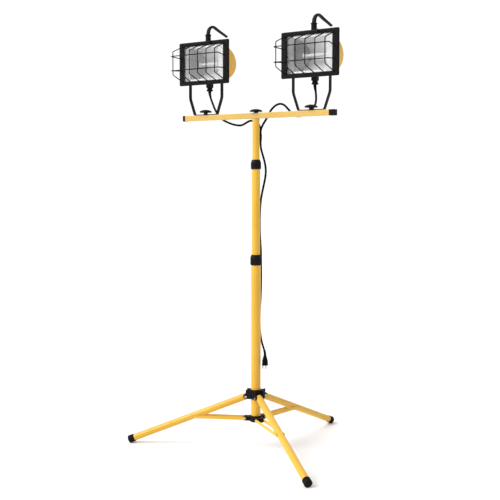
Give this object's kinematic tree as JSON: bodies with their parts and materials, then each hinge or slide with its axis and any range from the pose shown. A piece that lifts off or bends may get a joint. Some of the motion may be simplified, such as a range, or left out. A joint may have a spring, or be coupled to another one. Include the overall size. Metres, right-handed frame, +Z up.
{
  "type": "twin-head tripod work light",
  "caption": "Tripod work light: telescoping mast with folding braced legs, crossbar with two guarded halogen heads on yokes, and a hanging supply cord.",
  "frame": {"origin": "centre of the object's box, on the floor plane under the three feet", "axes": "+Z up along the mast, +X along the crossbar towards its longer end cap, -Y the way both heads face"},
  "size_m": [0.8481, 0.7578, 1.5531],
  "materials": {
    "yellow_paint": "gloss yellow-orange enamel",
    "black_paint": "satin black",
    "black_plastic": "moulded",
    "black_rubber": "matt",
    "cord_rubber": "matt jacket",
    "bright_reflector": "pebbled bright",
    "clear_glass": "clear",
    "quartz": "clear quartz",
    "ceramic": "glazed steatite",
    "zinc_steel": "zinc plated"
  },
  "bodies": {
    "base": {"lower_tube": "yellow_paint", "strut_hub": "black_plastic", "plug": "cord_rubber"},
    "mid": {"mid_tube": "yellow_paint"},
    "top": {"top_tube": "yellow_paint", "mast_plug": "zinc_steel", "main_cord": "cord_rubber"},
    "bar": {"crossbar": "yellow_paint", "end_cap_left": "black_plastic", "end_cap_right": "black_plastic", "cord_splitter": "cord_rubber", "lead_left": "cord_rubber", "lead_right": "cord_rubber"},
    "hub": {"leg_hub": "black_plastic", "leg_pin_left": "zinc_steel", "leg_pin_rear": "zinc_steel", "leg_pin_front": "zinc_steel"},
    "collar_low": {"collar_lower": "black_plastic"},
    "collar_up": {"collar_upper": "black_plastic"},
    "hub_screw": {"hub_lock_screw": "black_plastic"},
    "mast_knob": {"mast_knob": "black_plastic"},
    "leg_left": {"leg_left": "yellow_paint", "foot_left": "black_rubber"},
    "brace_left": {"brace_left": "yellow_paint"},
    "leg_rear": {"leg_rear": "yellow_paint", "foot_rear": "black_rubber"},
    "brace_rear": {"brace_rear": "yellow_paint"},
    "leg_front": {"leg_front": "yellow_paint", "foot_front": "black_rubber"},
    "brace_front": {"brace_front": "yellow_paint"},
    "yoke_left": {"yoke_left": "black_paint", "tilt_bolt_left_outer": "zinc_steel", "tilt_bolt_left_inner": "zinc_steel"},
    "yoke_knob_left": {"yoke_knob_left": "black_plastic"},
    "head_left": {"housing_left": "yellow_paint", "reflector_left": "bright_reflector", "lamp_left": "quartz", "lamp_holder_left": "ceramic", "junction_box_left": "black_plastic", "cord_gland_left": "black_plastic", "handle_left": "black_plastic"},
    "door_left": {"bezel_left": "black_paint", "guard_left": "black_paint", "glass_left": "clear_glass"},
    "latch_left": {"latch_screw_left": "black_plastic"},
    "yoke_right": {"yoke_right": "black_paint", "tilt_bolt_right_outer": "zinc_steel", "tilt_bolt_right_inner": "zinc_steel"},
    "yoke_knob_right": {"yoke_knob_right": "black_plastic"},
    "head_right": {"housing_right": "yellow_paint", "reflector_right": "bright_reflector", "lamp_right": "quartz", "lamp_holder_right": "ceramic", "junction_box_right": "black_plastic", "cord_gland_right": "black_plastic", "handle_right": "black_plastic"},
    "door_right": {"bezel_right": "black_paint", "guard_right": "black_paint", "glass_right": "clear_glass"},
    "latch_right": {"latch_screw_right": "black_plastic"}
  },
  "joints": [
    {"name": "hub_slide", "type": "slide", "parent": "base", "child": "hub", "axis": [0, 0, 1], "range_m": [0, 0.3346]},
    {"name": "leg_hinge_left", "type": "hinge", "parent": "hub", "child": "leg_left", "pos_m": [-0.01992, -0.12282, 0.194], "axis": [0.4577, -0.8891, 0], "range_deg": [0, 64.23]},
    {"name": "brace_hinge_left", "type": "hinge", "parent": "base", "child": "brace_left", "pos_m": [-0.02436, -0.12511, 0.113], "axis": [-0.4577, 0.8891, 0], "range_deg": [0, 88.01]},
    {"name": "leg_hinge_rear", "type": "hinge", "parent": "hub", "child": "leg_rear", "pos_m": [0.01289, -0.07184, 0.194], "axis": [-0.9988, 0.0482, 0], "range_deg": [0, 64.23]},
    {"name": "brace_hinge_rear", "type": "hinge", "parent": "base", "child": "brace_rear", "pos_m": [0.01313, -0.06685, 0.113], "axis": [0.9988, -0.0482, 0], "range_deg": [0, 88.01]},
    {"name": "leg_hinge_front", "type": "hinge", "parent": "hub", "child": "leg_front", "pos_m": [0.04063, -0.12574, 0.194], "axis": [0.5411, 0.8409, 0], "range_deg": [0, 64.23]},
    {"name": "brace_hinge_front", "type": "hinge", "parent": "base", "child": "brace_front", "pos_m": [0.04484, -0.12845, 0.113], "axis": [-0.5411, -0.8409, 0], "range_deg": [0, 88.01]},
    {"name": "mid_slide", "type": "slide", "parent": "base", "child": "mid", "axis": [0, 0, 1], "range_m": [-0.304, 0], "deforming": ["main_cord"]},
    {"name": "top_slide", "type": "slide", "parent": "mid", "child": "top", "axis": [0, 0, 1], "range_m": [-0.135, 0]},
    {"name": "collar_lower_twist", "type": "hinge", "parent": "base", "child": "collar_low", "pos_m": [0.0112, -0.1068, 0.694], "axis": [0, 0, 1], "range_deg": [0, 90]},
    {"name": "collar_upper_twist", "type": "hinge", "parent": "mid", "child": "collar_up", "pos_m": [0.0112, -0.1068, 1.037], "axis": [0, 0, 1], "range_deg": [0, 90]},
    {"name": "hub_lock_screw_turn", "type": "hinge", "parent": "hub", "child": "hub_screw", "pos_m": [-0.01403, -0.09057, 0.203], "axis": [-0.8409, 0.5411, 0], "continuous": true},
    {"name": "bar_swivel", "type": "hinge", "parent": "top", "child": "bar", "pos_m": [0.0112, -0.1068, 1.2105], "axis": [0, 0, 1], "range_deg": [-90, 90]},
    {"name": "mast_knob_turn", "type": "hinge", "parent": "top", "child": "mast_knob", "pos_m": [0.0112, -0.1068, 1.229], "axis": [0, 0, 1], "continuous": true},
    {"name": "yoke_pan_left", "type": "hinge", "parent": "bar", "child": "yoke_left", "pos_m": [-0.2213, -0.1068, 1.2223], "axis": [0, 0, 1], "range_deg": [-90, 90]},
    {"name": "yoke_knob_turn_left", "type": "hinge", "parent": "bar", "child": "yoke_knob_left", "pos_m": [-0.2213, -0.1068, 1.235], "axis": [0, 0, 1], "continuous": true},
    {"name": "head_tilt_left", "type": "hinge", "parent": "yoke_left", "child": "head_left", "pos_m": [-0.2213, -0.1048, 1.405], "axis": [-1, 0, 0], "range_deg": [0, 80], "deforming": ["lead_left"]},
    {"name": "door_hinge_left", "type": "hinge", "parent": "head_left", "child": "door_left", "pos_m": [-0.2213, -0.113, 1.33195], "axis": [1, 0, 0], "range_deg": [0, 90]},
    {"name": "latch_turn_left", "type": "hinge", "parent": "door_left", "child": "latch_left", "pos_m": [-0.1843, -0.1208, 1.48595], "axis": [0, 1, 0], "continuous": true},
    {"name": "yoke_pan_right", "type": "hinge", "parent": "bar", "child": "yoke_right", "pos_m": [0.2462, -0.1068, 1.2223], "axis": [0, 0, 1], "range_deg": [-90, 90]},
    {"name": "yoke_knob_turn_right", "type": "hinge", "parent": "bar", "child": "yoke_knob_right", "pos_m": [0.2462, -0.1068, 1.235], "axis": [0, 0, 1], "continuous": true},
    {"name": "head_tilt_right", "type": "hinge", "parent": "yoke_right", "child": "head_right", "pos_m": [0.2462, -0.1048, 1.405], "axis": [-1, 0, 0], "range_deg": [0, 80], "deforming": ["lead_right"]},
    {"name": "door_hinge_right", "type": "hinge", "parent": "head_right", "child": "door_right", "pos_m": [0.2462, -0.113, 1.33195], "axis": [1, 0, 0], "range_deg": [0, 90]},
    {"name": "latch_turn_right", "type": "hinge", "parent": "door_right", "child": "latch_right", "pos_m": [0.2832, -0.1208, 1.48595], "axis": [0, 1, 0], "continuous": true}
  ],
  "couplings": [
    {"joint": "leg_hinge_left", "follows": "hub_slide", "rad_per_m": 3.3477},
    {"joint": "brace_hinge_left", "follows": "hub_slide", "rad_per_m": 4.5884},
    {"joint": "leg_hinge_rear", "follows": "hub_slide", "rad_per_m": 3.3477},
    {"joint": "brace_hinge_rear", "follows": "hub_slide", "rad_per_m": 4.5884},
    {"joint": "leg_hinge_front", "follows": "hub_slide", "rad_per_m": 3.3477},
    {"joint": "brace_hinge_front", "follows": "hub_slide", "rad_per_m": 4.5884}
  ]
}
